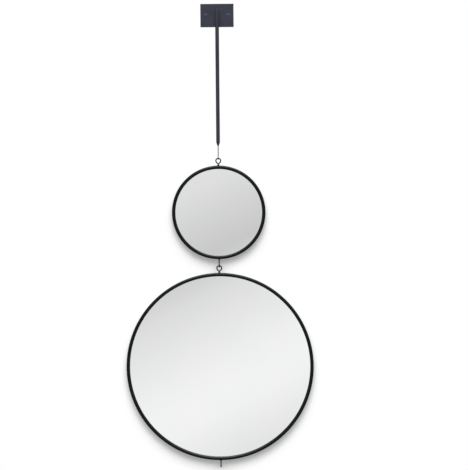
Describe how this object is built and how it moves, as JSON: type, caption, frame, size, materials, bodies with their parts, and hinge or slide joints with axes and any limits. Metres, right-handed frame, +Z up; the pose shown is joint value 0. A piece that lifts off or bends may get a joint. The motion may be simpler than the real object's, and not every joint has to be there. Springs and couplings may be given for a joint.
{
  "type": "pair of hanging round wall mirrors",
  "caption": "Round mirrors in thin black ring frames, hooked one below the other and hung in front of a wall from a plate, a long tube and a swivelling wire hook.",
  "frame": {"origin": "centre of the wall plate's back face, which lies on the wall", "axes": "+Z up along the tube, -Y out of the wall towards the viewer, +X to the viewer's right"},
  "size_m": [0.5, 0.0566, 1.2398],
  "materials": {
    "charcoal_coat": "matte",
    "ring_enamel": "satin",
    "black_wire": "satin",
    "black_screw": "satin",
    "zinc_steel": "satin",
    "brass": "satin",
    "nylon": "matte",
    "mirror_glass": "polished",
    "hardboard": "matte",
    "bumper_rubber": "matte"
  },
  "bodies": {
    "bracket": {"wall_plate": "charcoal_coat", "wall_screws": "black_screw", "tube_spacers": "charcoal_coat", "tube_screws": "zinc_steel", "tube_inserts": "brass", "hanger_tube": "charcoal_coat", "tube_top_plug": "charcoal_coat", "tube_tip": "charcoal_coat"},
    "wire_hanger": {"drop_wire": "black_wire", "wire_stop_sleeve": "brass", "thrust_washer": "nylon"},
    "small_mirror": {"small_ring_frame": "ring_enamel", "small_mirror_glass": "mirror_glass", "small_backing_board": "hardboard", "small_frame_lugs": "ring_enamel", "small_lug_screws": "zinc_steel", "small_wall_bumpers": "bumper_rubber", "small_top_eye": "black_wire", "small_eye_collar": "ring_enamel", "small_hook_bush": "ring_enamel"},
    "small_hook": {"small_bottom_hook": "black_wire"},
    "big_mirror": {"big_ring_frame": "ring_enamel", "big_mirror_glass": "mirror_glass", "big_backing_board": "hardboard", "big_frame_lugs": "ring_enamel", "big_lug_screws": "zinc_steel", "big_wall_bumpers": "bumper_rubber", "big_top_eye": "black_wire", "big_eye_collar": "ring_enamel", "big_hook_bush": "ring_enamel"},
    "big_hook": {"big_bottom_hook": "black_wire"}
  },
  "joints": [
    {"name": "wire_swivel", "type": "hinge", "parent": "bracket", "child": "wire_hanger", "pos_m": [0, -0.014, -0.3502], "axis": [0, 0, 1], "continuous": true},
    {"name": "small_mirror_swing", "type": "hinge", "parent": "wire_hanger", "child": "small_mirror", "pos_m": [0, -0.014, -0.3862], "axis": [0, 1, 0], "range_deg": [-30, 30]},
    {"name": "small_hook_swivel", "type": "hinge", "parent": "small_mirror", "child": "small_hook", "pos_m": [0, -0.014, -0.6525], "axis": [0, 0, 1], "continuous": true},
    {"name": "big_mirror_swing", "type": "hinge", "parent": "small_hook", "child": "big_mirror", "pos_m": [0, -0.014, -0.6735], "axis": [0, 1, 0], "range_deg": [-30, 30]},
    {"name": "big_hook_swivel", "type": "hinge", "parent": "big_mirror", "child": "big_hook", "pos_m": [0, -0.014, -1.1893], "axis": [0, 0, 1], "continuous": true}
  ]
}
